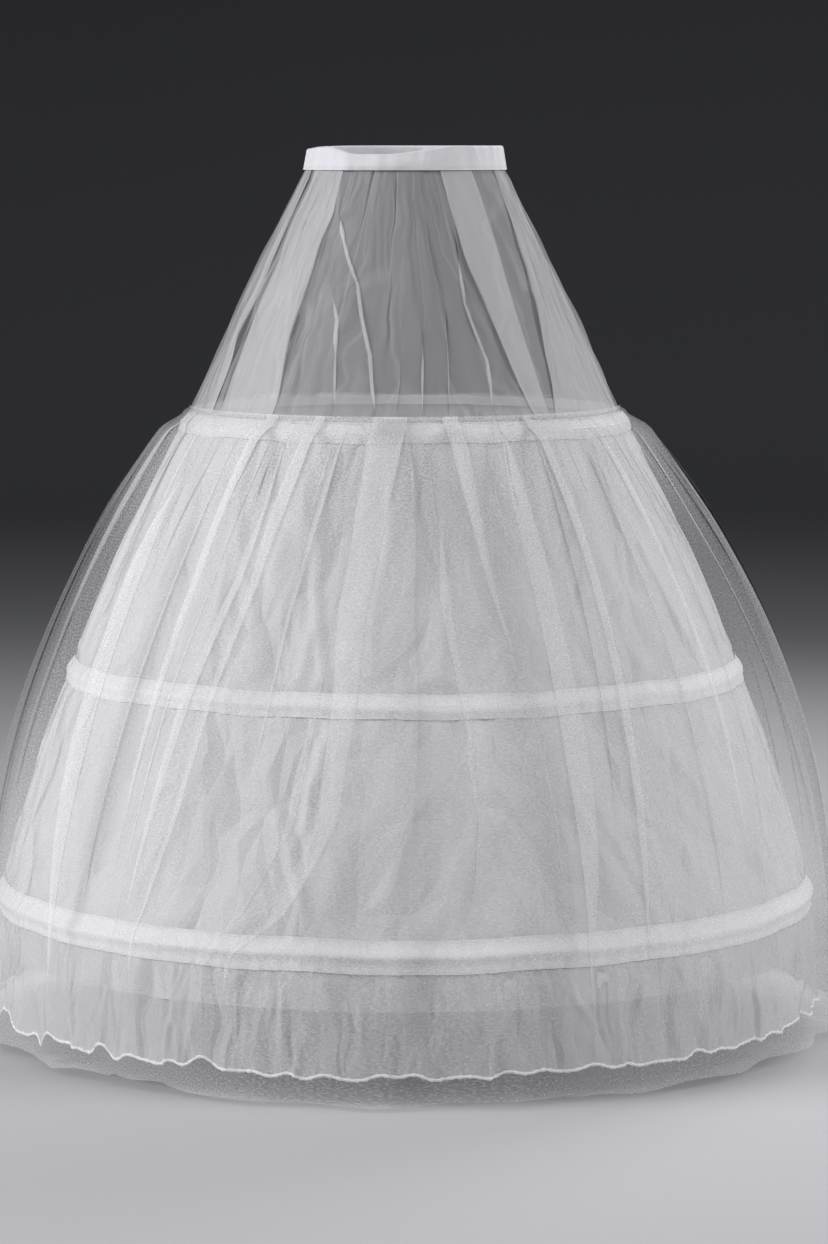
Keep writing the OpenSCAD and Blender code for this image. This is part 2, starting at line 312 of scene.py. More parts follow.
    def _panel_seams(self, tree: bpy.types.NodeTree, split: bpy.types.Node,
                     normal: bpy.types.NodeSocket) -> bpy.types.NodeSocket:
        """Presses the upright seams between the panels into the cloth.

        Args:
            tree: The material's node tree.
            split: The cloth's flat coordinates, apart.
            normal: The surface so far.

        Returns:
            The surface with the seams in it.
        """
        away = add_node(tree, "ShaderNodeMath", {0: split.outputs["X"], 1: self.panel_mm * MM / 2},
                        operation="PINGPONG")
        line = add_node(tree, "ShaderNodeMath", {0: away.outputs[0], 1: 1.6 * MM}, operation="LESS_THAN")
        return add_node(tree, "ShaderNodeBump", {
            "Height": line.outputs[0], "Strength": 1.0, "Distance": 1.6 * MM, "Normal": normal,
        }, invert=True).outputs["Normal"]

    def _round_light(self, tree: bpy.types.NodeTree, normal: bpy.types.NodeSocket) -> bpy.types.NodeSocket:
        """Turns the surface towards straight out from the garment's axis.

        Args:
            tree: The material's node tree.
            normal: The surface so far.

        Returns:
            The surface that the light meets.
        """
        place = add_node(tree, "ShaderNodeTexCoord").outputs["Object"]
        level = add_node(tree, "ShaderNodeVectorMath", {0: place, 1: (1.0, 1.0, 0.0)}, operation="MULTIPLY")
        outward = add_node(tree, "ShaderNodeVectorMath", {0: level.outputs[0]}, operation="NORMALIZE")
        raised = add_node(tree, "ShaderNodeVectorMath", {0: outward.outputs[0], 1: (0.0, 0.0, 0.35)}, operation="ADD")
        return add_node(tree, "ShaderNodeMix", {
            "Factor": self.round_light, "A": normal, "B": raised.outputs[0],
        }, data_type="VECTOR").outputs["Result"]


@dataclass(frozen=True)
class HardFinish:
    """A hard finish on the wire or the ferrules, with fine scratches along Object coordinates.

    Attributes:
        name: The material's common name.
        colour: Its colour, as sRGB hex.
        metallic: 1 for bare metal, 0 for a coating.
        roughness: Surface roughness.
        grain_mm: Size of the fine marks.
    """

    name: str
    colour: str
    metallic: float
    roughness: float
    grain_mm: float

    def material(self) -> bpy.types.Material:
        """Builds the material.

        Returns:
            The finished material.
        """
        made = bpy.data.materials.new(self.name)
        made.use_nodes = True
        tree = made.node_tree
        shader = tree.nodes["Principled BSDF"]
        place = add_node(tree, "ShaderNodeTexCoord").outputs["Object"]
        grain = add_node(tree, "ShaderNodeTexNoise", {"Vector": place, "Scale": 1.0 / (self.grain_mm * MM),
                                                      "Detail": 3.0}).outputs["Fac"]
        rough = add_node(tree, "ShaderNodeMapRange", {
            "Value": grain, "To Min": self.roughness - 0.08, "To Max": self.roughness + 0.08,
        })
        bump = add_node(tree, "ShaderNodeBump", {"Height": grain, "Strength": 0.2, "Distance": 0.1 * MM})
        tree.links.new(rough.outputs["Result"], shader.inputs["Roughness"])
        tree.links.new(bump.outputs["Normal"], shader.inputs["Normal"])
        shader.inputs["Base Color"].default_value = linear(self.colour)
        shader.inputs["Metallic"].default_value = self.metallic
        return made


# Cotton sateen, woven close and folded double: opaque, matt, faintly lilac, with a row of stitches over the seam.
# Its second colour, paler, is a painted highlight along the creases.
WAIST_CLOTH = ClothFinish("cotton_sateen", "D6D4DA", "DCDBE0", 1.6, 1.0, 0.65, 0.3, 46.0, 0.05, stitch_mm=(49.5,))
# Ribbed elastic tape, knitted with rubber threads: slightly yellow, with ribs along its length.
ELASTIC_TAPE = ClothFinish("ribbed_elastic", "EDECE7", "E2E0D9", 2.0, 1.0, 0.7, 0.2, 0.0, 0.0, Weave.RIB)
# Polyester organza, woven thin from clear threads: what is behind shows through one layer and fades behind three.
# Its second colour, greyer, is painted shade along the creases.
YOKE_CLOTH = ClothFinish("polyester_organza", "F8F8FA", "EFEFF2", 1.8, 0.3, 0.5, 0.9, 40.0, 0.3, round_light=0.5,
                         crease_cover=0.045, crease_long=3.6)
# Polyester taffeta, woven close and then folded small for its box: cool white, a soft sheen, crisp flat creases.
# Its second colour, paler, is a painted highlight along the creases.
LINING_CLOTH = ClothFinish("polyester_taffeta", "D0D0D4", "D6D6DA", 1.8, 1.0, 0.55, 0.55, 95.0, 0.13)
# Woven casing tape, doubled over the wire: whiter and denser than the lining, with two rows of stitches.
# Its second colour, greyer, is painted shade along the creases.
TAPE_CLOTH = ClothFinish("woven_casing_tape", "F2F2F4", "EBEBEE", 1.4, 1.0, 0.55, 0.35, 40.0, 0.06)
# One layer of the same taffeta below the hoops: a little light passes, so the doubled band above it looks denser.
# Its second colour, paler, is a painted highlight along the creases.
FLOUNCE_CLOTH = ClothFinish("polyester_taffeta_flounce", "DCDCE0", "E2E2E6", 1.8, 0.58, 0.55, 0.45, 60.0, 0.18,
                            crease_cover=0.05, crease_long=2.0)
# Nylon tulle, a soft knitted net: nearly clear in one layer, white where it is gathered or folded over itself. Its
# holes are about 1 mm wide, so they are drawn nearly twice as coarse, as grain.
NET_CLOTH = ClothFinish("nylon_tulle", "FCFCFD", "F8F8FA", 1.8, 0.2, 0.5, 1.0, 0.0, 0.0, Weave.NET, round_light=0.8,
                        gather_mm=170.0, gather_cover=0.14)
# Overlock thread, looped close over the raw edge: a bright, slightly beaded line.
OVERLOCK_THREAD = ClothFinish("overlock_thread", "FDFDFD", "F3F3F4", 1.6, 1.0, 0.5, 0.3, 0.0, 0.0, Weave.RIB)
# White polymer coat drawn over spring steel wire: smooth, with a dull gloss.
WIRE_COAT = HardFinish("white_polymer_coat", "ECECEC", 0.0, 0.42, 6.0)
# Plated steel tube, crimped over the wire's ends: bright, with fine scratches.
FERRULE_METAL = HardFinish("plated_steel", "C9CACC", 1.0, 0.32, 2.0)
# Seamless backdrop paper: matt and even, pale as the floor near the part and darker further out, where it rises.
FLOOR_TONE, WALL_TONE = "BEBEC2", "6C6D72"


@dataclass(frozen=True)
class HoopLine:
    """Where one hoop runs: the lining's radius and height there, and the height of its casing tape."""

    radius: float
    height: float
    tape: float


@dataclass(frozen=True)
class Layout:
    """The garment's driving sizes, read from the frame."""

    waist_in: float
    waist_out: float
    waist_top: float
    waist_bottom: float
    seam_r: float
    seam_z: float
    hoops: tuple[HoopLine, HoopLine, HoopLine]
    tail_z: float
    flounce_top: float
    flounce_bottom: float
    flounce_r: float
    net_bottom: float
    net_r: float
    tier_bow: float = 4.0 * MM

    @classmethod
    def from_frame(cls) -> "Layout":
        """Reads the sizes from the boxes of the CAD nodes.

        Returns:
            The layout in metres.
        """
        wire_to_wall = 4.0 * MM
        elastic_to_face = 3.0 * MM
        pleat_half = 1.1 * MM
        ripple = 4.0 * MM
        net_fold = 5.0 * MM
        net_wave = 4.0 * MM

        def box(node: str) -> tuple[Vector, Vector]:
            """Corners of a node."""
            low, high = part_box(node)
            return Vector(low), Vector(high)

        def hoop(level: str) -> HoopLine:
            """One hoop's line from its wire and its casing."""
            low, high = box(f"{level}_hoop")
            tape_low, tape_high = box(f"{level}_casing")
            return HoopLine(high.x - wire_to_wall, (low.z + high.z) / 2, tape_high.z - tape_low.z)

        band_low, band_high = box("waistband")
        yoke_low, yoke_high = box("yoke")
        flounce_low, flounce_high = box("flounce")
        net_low, net_high = box("net_overlay")
        return cls(
            waist_in=box("waist_elastic")[0].x * -1 - elastic_to_face,
            waist_out=band_high.x,
            waist_top=band_high.z,
            waist_bottom=band_low.z,
            seam_r=yoke_high.x - pleat_half,
            seam_z=yoke_low.z,
            hoops=(hoop("top"), hoop("middle"), hoop("bottom")),
            tail_z=box("lower_tier")[0].z,
            flounce_top=flounce_high.z,
            flounce_bottom=flounce_low.z,
            flounce_r=flounce_high.x - ripple,
            net_bottom=net_low.z + net_wave,
            net_r=net_high.x - net_fold,
        )

    def lining_r(self, z: Array) -> Array:
        """Radius of the lining at heights z, from the hip seam down to its tail.

        Args:
            z: Heights in metres.

        Returns:
            Radii in metres.
        """
        top, middle, bottom = self.hoops
        heights = [self.tail_z, bottom.height, middle.height, top.height, self.seam_z]
        radii = [bottom.radius, bottom.radius, middle.radius, top.radius, self.seam_r]
        straight = np.interp(z, heights, radii)
        bow = np.zeros_like(straight)
        for high, low in ((top, middle), (middle, bottom)):
            t = np.clip((high.height - z) / (high.height - low.height), 0.0, 1.0)
            bow = bow + 4.0 * self.tier_bow * t * (1.0 - t)
        return straight + bow


def skin(name: str, grid: Array, flat_u: Array | float, flat_v: Array) -> bpy.types.Object:
    """Makes a cloth surface that closes round the skirt, with its flat coordinates as a UV map in metres.

    Args:
        name: The piece's name.
        grid: Points as rows from top to bottom, columns that pass the front towards +X, and 3 coordinates.
        flat_u: Flat distance along the cloth for each column and once round, or only the latter for even columns.
        flat_v: Flat distance down the cloth for each row.

    Returns:
        The new object, at the origin.
    """
    rows, cols, _ = grid.shape
    if isinstance(flat_u, float):
        flat_u = np.linspace(0.0, flat_u, cols + 1)
    r, c = np.meshgrid(np.arange(rows - 1), np.arange(cols), indexing="ij")
    nxt = (c + 1) % cols
    quads = np.stack([r * cols + c, (r + 1) * cols + c, (r + 1) * cols + nxt, r * cols + nxt], axis=-1)
    mesh = bpy.data.meshes.new(name)
    mesh.from_pydata(grid.reshape(-1, 3).tolist(), [], quads.reshape(-1, 4).tolist())
    corners = np.stack([
        np.stack([flat_u[c], flat_v[r]], -1), np.stack([flat_u[c], flat_v[r + 1]], -1),
        np.stack([flat_u[c + 1], flat_v[r + 1]], -1), np.stack([flat_u[c + 1], flat_v[r]], -1),
    ], axis=-2)
    mesh.uv_layers.new(name=UV_NAME).data.foreach_set("uv", corners.reshape(-1).astype(np.float32))
    mesh.polygons.foreach_set("use_smooth", np.ones(len(mesh.polygons), dtype=bool))
    mesh.update()
    piece = bpy.data.objects.new(name, mesh)
    bpy.context.scene.collection.objects.link(piece)
    return piece


def polar(radius: Array, angle: Array, z: Array) -> Array:
    """Points at a radius and height, at an angle from the centre front towards +X."""
    radius, angle, z = np.broadcast_arrays(radius, angle, z)
    return np.stack([radius * np.sin(angle), -radius * np.cos(angle), z], axis=-1)


def ring_angles(count: int) -> Array:
    """Evenly spaced angles once round the skirt, from the centre back."""
    return np.arange(count) * (TURN / count) - math.pi


def waves(rng: np.random.Generator, angle: Array, counts: tuple[int, ...], least: float, most: float) -> Array:
    """Adds up uneven waves round the skirt.

    Args:
        rng: Source of their heights and places.
        angle: Angles round the skirt.
        counts: How many times each wave goes up and down once round.
        least: Least height in millimetres.
        most: Most height in millimetres.

    Returns:
        Their sum in metres.
    """
    return sum(rng.uniform(least, most) * MM * np.cos(n * angle + rng.uniform(0, 6.3)) for n in counts)


def crinkle(u: Array, v: Array, girth: float, span: tuple[float, float], slant: float, seed: int) -> Array:
    """Uneven height of a handled cloth, as many crossing waves that close once round.

    Args:
        u: Flat distance round the cloth.
        v: Flat distance down the cloth.
        girth: Flat distance once round.
        span: Shortest and longest wave.
        slant: Steepness of the waves, from 0 for creases straight down to 1 for creases at any angle.
        seed: Seed of the waves.

    Returns:
        Heights with a spread of about 1.
    """
    rng = np.random.default_rng(seed)
    height = np.zeros(np.broadcast_shapes(u.shape, v.shape))
    for _ in range(36):
        wave = rng.uniform(*span)
        lean = rng.uniform(-1.3, 1.3) * slant
        turns = max(1, round(girth / wave * math.cos(lean)))
        height = height + np.cos(TURN * (turns * u / girth + v * math.sin(lean) / wave) + rng.uniform(0, 6.3))
    return height / math.sqrt(18.0)


@dataclass(frozen=True)
class Relaxer:
    """Lets a round cloth with more length than room buckle into its own wrinkles.

    Each pass pulls the threads round and down, the bias between them and every second point back to their own
    lengths, so the spare length turns into folds with sharp ridges.

    Attributes:
        passes: Number of passes.
        bend: How strongly the cloth straightens.
        bias: How strongly it keeps its squares.
    """

    passes: int
    bend: float = 0.06
    bias: float = 0.25

    def settle(self, grid: Array, rest: Array, fullness: tuple[Array | float, Array | float], held: Array,
               least_r: Array | None = None) -> Array:
        """Runs the passes.

        Args:
            grid: Points to start from, with a column count that divides by 4.
            rest: Points of the smooth cloth that the threads' lengths come from.
            fullness: Length of the threads round and down the cloth, as a share of the smooth cloth's.
            held: For each row, 1 where it is sewn down and 0 where it is free.
            least_r: For each row, the least radius that the cloth may have.

        Returns:
            The settled points.
        """
        rows, cols, _ = grid.shape
        x = grid.astype(np.float32)
        free = np.broadcast_to((1.0 - held).reshape(-1, 1), (rows, cols)).astype(np.float32)
        round_by = np.broadcast_to(fullness[0], (rows, cols)).astype(np.float32)
        down_by = np.broadcast_to(fullness[1], (rows, cols)).astype(np.float32)
        mean_by = (round_by + down_by) / 2
        jobs = []
        for step_r, step_c, share, by in ((0, 1, 1.0, round_by), (1, 0, 1.0, down_by), (1, 1, self.bias, mean_by),
                                          (1, -1, self.bias, mean_by), (0, 2, self.bend, round_by),
                                          (2, 0, self.bend, down_by)):
            step = step_r or abs(step_c)
            along = np.arange(rows - step_r) if step_r else np.arange(cols)
            for half in (0, 1):
                picked = along[(along // step) % 2 == half]
                r = picked if step_r else np.arange(rows)
                c = np.arange(cols) if step_r else picked
                first = np.ix_(r, c)
                second = np.ix_(r + step_r, (c + step_c) % cols)
                gap = np.linalg.norm(rest[second] - rest[first], axis=-1) * by[first]
                ends = free[first], free[second]
                total = np.maximum(ends[0] + ends[1], 1e-3)
                jobs.append((first, second, gap.astype(np.float32), (share * ends[0] / total)[..., None],
                             (share * ends[1] / total)[..., None]))
        for lap in range(self.passes):
            for first, second, gap, pull_first, pull_second in jobs:
                start, end = x[first], x[second]
                apart = end - start
                length = np.sqrt(np.einsum("ijk,ijk->ij", apart, apart))
                move = apart * (1.0 - gap / np.maximum(length, 1e-6))[..., None]
                x[first] = start + move * pull_first
                x[second] = end - move * pull_second
            if least_r is not None and lap % 4 == 0:
                reach = np.hypot(x[..., 0], x[..., 1])
                x[..., :2] *= np.maximum(1.0, least_r.reshape(-1, 1) / reach)[..., None]
        return x.astype(float)


@dataclass(frozen=True)
class Fold:
    """One hanging fold of cloth.

    Attributes:
        route: Angle in degrees from the centre front, and height in metres, from the top down.
        depth: How far the fold stands out.
        width: Half width of the fold.
        pinch: How much cloth the fold gathers from both sides, where over 0.6 folds it over itself.
        fade: Length over which it fades in and out.
        taper: Width at its lower end, as a share of the width at its upper end.
        tail: Length over which it fades out at its lower end, where that differs.
    """

    PULL: ClassVar[float] = 1.65  # Sideways move of a pinch of 1, in half widths.

    route: tuple[tuple[float, float], ...]
    depth: float
    width: float
    pinch: float = 0.4
    fade: float = 0.12
    taper: float = 1.0
    tail: float | None = None

    def offsets(self, angle: Array, z: Array, radius: Array) -> tuple[Array, Array]:
        """Works out how this fold moves points of a round cloth.

        Args:
            angle: Angles of the points.
            z: Heights of the points.
            radius: Radii of the points.

        Returns:
            Outward and sideways moves in metres.
        """
        stops = sorted((height, math.radians(bearing)) for bearing, height in self.route)
        heights = [h for h, _ in stops]
        centre = np.interp(z, heights, [a for _, a in stops])
        inside = ease((heights[-1] - z) / self.fade + 0.5) * ease((z - heights[0]) / (self.tail or self.fade) + 0.5)
        width = self.width * np.interp(z, [heights[0], heights[-1]], [self.taper, 1.0])
        x = turn(angle - centre) * radius / width
        bell = np.exp(-np.minimum(x * x, 30.0)) * inside
        return self.depth * bell, -self.pinch * width * self.PULL * x * bell


@dataclass
class FoldField:
    """All the folds of one cloth."""

    folds: list[Fold] = field(default_factory=list)

    def scatter(self, seed: int, count: int, top: float, bottom: float, depth: tuple[float, float],
                width: tuple[float, float], drift: float, pinch: tuple[float, float],
                reach: tuple[float, float] = (0.4, 1.0), tail: float | None = None) -> "FoldField":
        """Adds folds spread round the skirt, each with its own depth, width, length and lean.

        Args:
            seed: Seed of the spread.
            count: Number of folds.
            top: Height where the cloth starts.
            bottom: Height where it ends.
            depth: Least and most depth.
            width: Least and most half width.
            drift: Spread of the sideways lean from top to bottom, in degrees.
            pinch: Least and most pinch.
            reach: Least and most share of the cloth's length that a fold runs.
            tail: Length over which the folds fade out at their lower ends.

        Returns:
            This field.
        """
        rng = np.random.default_rng(seed)
        for k in range(count):
            bearing = (k + rng.uniform(-0.45, 0.45)) * 360.0 / count
            length = rng.uniform(*reach)
            start = rng.uniform(0.0, 1.0 - length) if rng.uniform() > 0.5 else 0.0
            lean = rng.normal(0.0, drift)
            high = top + (bottom - top) * start
            low = top + (bottom - top) * min(1.0, start + length)
            middle = (high + low) / 2
            route = ((bearing, high), (bearing + lean * 0.4 + rng.normal(0.0, drift * 0.25), middle),
                     (bearing + lean, low))
            self.folds.append(Fold(route, rng.uniform(*depth), rng.uniform(*width), rng.uniform(*pinch), tail=tail))
        return self

    def apply(self, radius: Array, angle: Array, z: Array) -> tuple[Array, Array]:
        """Moves the points of a round cloth by all its folds.

        Args:
            radius: Radii of the points.
            angle: Their angles.
            z: Their heights.

        Returns:
            New radii and angles.
        """
        out = np.zeros_like(radius)
        aside = np.zeros_like(radius)
        for fold in self.folds:
            outward, sideways = fold.offsets(angle, z, radius)
            out += outward
            aside += sideways
        return radius + out, angle + aside / radius

    def hang(self, radius: Array, angle: Array, z: Array, rough: Array, free: Array) -> Array:
        """Moves the points of a round cloth by its folds and its unevenness, where it is free.

        Args:
            radius: Radii of the smooth cloth.
            angle: Its angles.
            z: Its heights.
            rough: Further moves outwards.
            free: 1 where the cloth is free and 0 where it is held.

        Returns:
            The moved points.
        """
        moved_r, moved_a = self.apply(radius, angle, z)
        return polar(radius + (moved_r - radius + rough) * free, angle + (moved_a - angle) * free, z)


@dataclass(frozen=True)
class Drift:
    """A sideways pull on hanging cloth.

    Attributes:
        place: Angle where it acts, in degrees from the centre front.
        spread: Angle over which it fades away.
        shifts: Shift in degrees, and height in metres, from the top down.
    """

    place: float
    spread: float
    shifts: tuple[tuple[float, float], ...]

    def pull(self, angle: Array, z: Array) -> Array:
        """Shift in radians of points at these angles and heights."""
        stops = sorted((height, math.radians(shift)) for shift, height in self.shifts)
        shift = np.interp(z, [height for height, _ in stops], [amount for _, amount in stops])
        return shift * np.exp(-(turn(angle - math.radians(self.place)) / math.radians(self.spread)) ** 2)


def finish_piece(piece: bpy.types.Object, finish: bpy.types.Material, slot: str, *nodes: str) -> None:
    """Dresses a piece, puts it on the garment's body and hides the CAD nodes that it stands for.

    Args:
        piece: The new piece.
        finish: Its material.
        slot: Not used.
        nodes: Names of the CAD nodes that it replaces.
    """
    piece.data.materials.clear()
    piece.data.materials.append(finish)
    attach(piece, BODY)
    if nodes:
        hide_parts(*nodes)
    log.info("%s: %d faces", piece.name, len(piece.data.polygons))


@dataclass
class Waistband:
    """The plain folded band at the top, slack at the front and at one side, with its elastic inside.

    Attributes:
        layout: The garment's sizes.
        columns: Columns of points.
        sag: How far its top edge hangs at the front.
        side_sag: How far its top edge hangs at the viewer's left.
        flare: How much further out its lower edge stands than its top edge.
        bulge: How far the slack front bows out.
        elastic: Lower and upper edge of the elastic, as shares of the band's height.
    """

    layout: Layout
    columns: int = 240
    sag: float = 8.5 * MM
    side_sag: float = 3.5 * MM
    flare: float = 4.0 * MM
    bulge: float = 1.8 * MM
    elastic: tuple[float, float] = (0.14, 0.88)

    @property
    def girth(self) -> float:
        """Length once round the middle of the band."""
        return math.pi * (self.layout.waist_in + self.layout.waist_out)

    def _place(self, across: Array, rise: Array) -> Array:
        """Finds points of the band.

        Args:
            across: Distances outwards from the middle of the band's thickness.
            rise: Heights as shares of the way from its lower edge up to its top edge.

        Returns:
            Rows of points once round the waist.
        """
        lay = self.layout
        angle = ring_angles(self.columns)[None, :]
        bearing = np.degrees(turn(angle))
        front = ease((bearing + 54.0) / 26.0) * ease((34.0 - bearing) / 46.0)
        dip = self.sag * front + self.side_sag * np.exp(-((bearing + 92.0) / 28.0) ** 2)
        rng = np.random.default_rng(4)
        ripple = waves(rng, angle, (5, 9, 14, 23, 37), 0.1, 0.35)
        z = lay.waist_bottom + (lay.waist_top - lay.waist_bottom - dip) * rise
        slack = self.bulge * front * np.sin(math.pi * np.clip(rise * 1.25, 0.0, 1.0))
        radius = (lay.waist_in + lay.waist_out) / 2 + across + slack + self.flare * (0.5 - rise) + ripple
        return polar(radius, angle, z)

    def build(self) -> list[bpy.types.Object]:
        """Makes the band as one strip folded over its top edge, and the elastic in it.

        Returns:
            The waistband and its elastic.
        """
        lay = self.layout
        half = (lay.waist_out - lay.waist_in) / 2
        height = lay.waist_top - lay.waist_bottom
        leg = height - half
        inside = [(-half, leg * k / 14) for k in range(14)]
        over = [(-half * math.cos(t), leg + half * math.sin(t)) for t in np.linspace(0.0, math.pi, 9)]
        outside = [(half, leg * k / 14) for k in range(13, -1, -1)]
        profile = np.array(inside + over + outside)
        flat_v = np.concatenate([[0.0], np.cumsum(np.hypot(*np.diff(profile, axis=0).T))])
        band = skin("waistband_cloth", self._place(profile[:, 0:1], profile[:, 1:2] / height), self.girth, flat_v)
        finish_piece(band, WAIST_CLOTH.material(), "waistband_cloth", "waistband")
        low, high = self.elastic
        rise = np.linspace(high, low, 9)[:, None]
        tape = skin("waist_elastic_tape", self._place(0.0 * rise, rise), self.girth, (high - rise[:, 0]) * height)
        finish_piece(tape, ELASTIC_TAPE.material(), "elastic", "waist_elastic")
        return [band, tape]


@dataclass(frozen=True)
class Pleat:
    """One pleat: angle of its fold at the waist, overlaps at waist and hip, and lean down to the hip, in degrees."""

    fold: float
    at_waist: float
    at_hip: float
    lean: float = 0.0


@dataclass
class Yoke:
    """The sheer pleated cloth from the waist to the hip seam.

    Attributes:
        layout: The garment's sizes.
        left_pleats: Pleats on the viewer's right, with angles from the centre front.
        right_pleats: Pleats on the viewer's left.
        layer: Half the stack of a pleat's layers where they are sewn.
        lift: How far the layers part halfway down.
        spread: How far the band's lower edge spreads the cloth.
        rows: Rows of points down the cloth.
    """

    layout: Layout
    left_pleats: tuple[Pleat, ...] = (
        Pleat(20, 22, 5, 16), Pleat(62, 24, 48, -19), Pleat(102, 22, 14), Pleat(142, 20, 12))
    right_pleats: tuple[Pleat, ...] = (
        Pleat(37, 28, 22), Pleat(69, 26, 32, -7), Pleat(107, 22, 14), Pleat(142, 20, 12))
    layer: float = 0.9 * MM
    lift: float = 2.6 * MM
    spread: float = 1.5 * MM
    rows: int = 64

    @staticmethod
    def _half(pleats: tuple[Pleat, ...], t: float) -> Array:
        """One half of a level loop, from the centre front to the centre back.

        Args:
            pleats: The pleats of this half.
            t: Share of the way from the waist down to the hip seam.

        Returns:
            Angle in degrees and layer from -1 to 1 for each point.
        """
        stops: list[tuple[float, float]] = []

        def run(start: tuple[float, float], end: tuple[float, float], count: int) -> None:
            """Adds points from one stop up to the next."""
            stops.extend((start[0] + (end[0] - start[0]) * k / count, start[1] + (end[1] - start[1]) * k / count)
                         for k in range(count))

        at = (0.0, 0.0)
        for pleat in pleats:
            near = pleat.fold + pleat.lean * t
            far = near + pleat.at_waist + (pleat.at_hip - pleat.at_waist) * t
            corners = [(at, 64), ((near, -1.0), 12), ((far - 0.5, -1.0), 2), ((far, -0.5), 2), ((far - 0.5, 0.0), 12),
                       ((near + 0.5, 0.0), 2), ((near, 0.5), 2), ((near + 0.5, 1.0), 12)]
            ends = [corner for corner, _ in corners[1:]] + [(far, 1.0)]
            for (corner, count), end in zip(corners, ends):
                run(corner, end, count)
            at = (far, 1.0)
        run(at, (180.0, 0.0), 20)
        return np.array(stops + [(180.0, 0.0)])

    def _loop(self, t: float) -> Array:
        """A whole level loop from the centre back: the half on the viewer's left, then the other one."""
        ahead = self._half(self.left_pleats, t)
        back = self._half(self.right_pleats, t)[-2:0:-1] * np.array([-1.0, 1.0])
        return np.concatenate([ahead[-1:], back, ahead[:-1]])

    def build(self) -> bpy.types.Object:
        """Makes the yoke with its pleats, soft ridges and creases.

        Returns:
            The yoke.
        """
        lay = self.layout
        t = np.linspace(0.0, 1.0, self.rows)[:, None]
        tuck = lay.waist_bottom + 3.0 * MM
        r_top = (lay.waist_in + lay.waist_out) / 2 + self.spread
        z = tuck + (lay.seam_z - tuck) * t
        base = r_top + (lay.seam_r - r_top) * np.clip((lay.waist_bottom - z) / (lay.waist_bottom - lay.seam_z), 0, 1)
        loops = np.stack([self._loop(float(s)) for s in t[:, 0]])
        angle = np.radians(loops[..., 0])
        radius = base + loops[..., 1] * (self.layer + self.lift * np.sin(math.pi * t) ** 2)
        z = np.broadcast_to(z, radius.shape)
        smooth = polar(radius, angle, z)
        edge = np.concatenate([smooth[-1], smooth[-1][:1]])
        flat_u = np.concatenate([[0.0], np.cumsum(np.linalg.norm(np.diff(edge, axis=0), axis=-1))])
        slope = math.hypot(lay.seam_r - r_top, lay.seam_z - tuck)
        flat_v = t[:, 0] * slope
        folds = FoldField([
            Fold(((-32.0, -0.055), (-17.2, -0.128), (-10.3, -0.198), (-7.3, -0.262)), 4.0 * MM, 11.0 * MM, 1.05, 0.06),
            Fold(((-29.0, -0.125), (-22.5, -0.163), (-18.0, -0.262)), 4.0 * MM, 11.0 * MM, 0.95, 0.08),
            Fold(((-42.0, -0.09), (-35.0, -0.262)), 3.0 * MM, 8.0 * MM, 0.45, 0.06),
            Fold(((5.5, -0.17), (4.5, -0.262)), 4.0 * MM, 10.0 * MM, 1.0, 0.08),
            Fold(((14.0, -0.16), (11.4, -0.262)), 3.0 * MM, 10.0 * MM, 0.85, 0.08),
            Fold(((-1.0, -0.20), (-2.0, -0.262)), 3.0 * MM, 9.0 * MM, 0.85, 0.06),
            Fold(((22.0, -0.10), (21.0, -0.146), (25.0, -0.204), (23.3, -0.262)), 3.0 * MM, 10.0 * MM, 1.0, 0.08),
            Fold(((-58.6, -0.146), (-52.0, -0.19), (-49.5, -0.262)), 3.0 * MM, 7.0 * MM, 0.4, 0.06),
            Fold(((-50.0, -0.03), (-47.0, -0.17)), 2.4 * MM, 6.0 * MM, 0.4, 0.06),
            Fold(((52.0, -0.04), (55.0, -0.12)), 2.4 * MM, 6.0 * MM, 0.4, 0.05),
        ]).scatter(11, 40, lay.waist_bottom, lay.seam_z, (0.6 * MM, 2.0 * MM), (5.0 * MM, 10.0 * MM), 8.0,
                   (0.1, 0.5), (0.2, 0.6))
        free = ease(t / 0.06) * ease((1.0 - t) / 0.03)
        girth = float(flat_u[-1])
        rough = 0.8 * MM * crinkle(flat_u[:-1], flat_v[:, None], girth, (0.04, 0.14), 1.0, 3)
        start = folds.hang(radius, angle, z, rough, free)
        held = ((t < 0.03) | (t > 0.975)).astype(float)
        grid = Relaxer(30, bend=0.1).settle(start, start, (1.006, 1.004), held)
        piece = skin("yoke_cloth", grid, flat_u, flat_v)
        finish_piece(piece, YOKE_CLOTH.material(), "yoke_cloth", "yoke")
        return piece


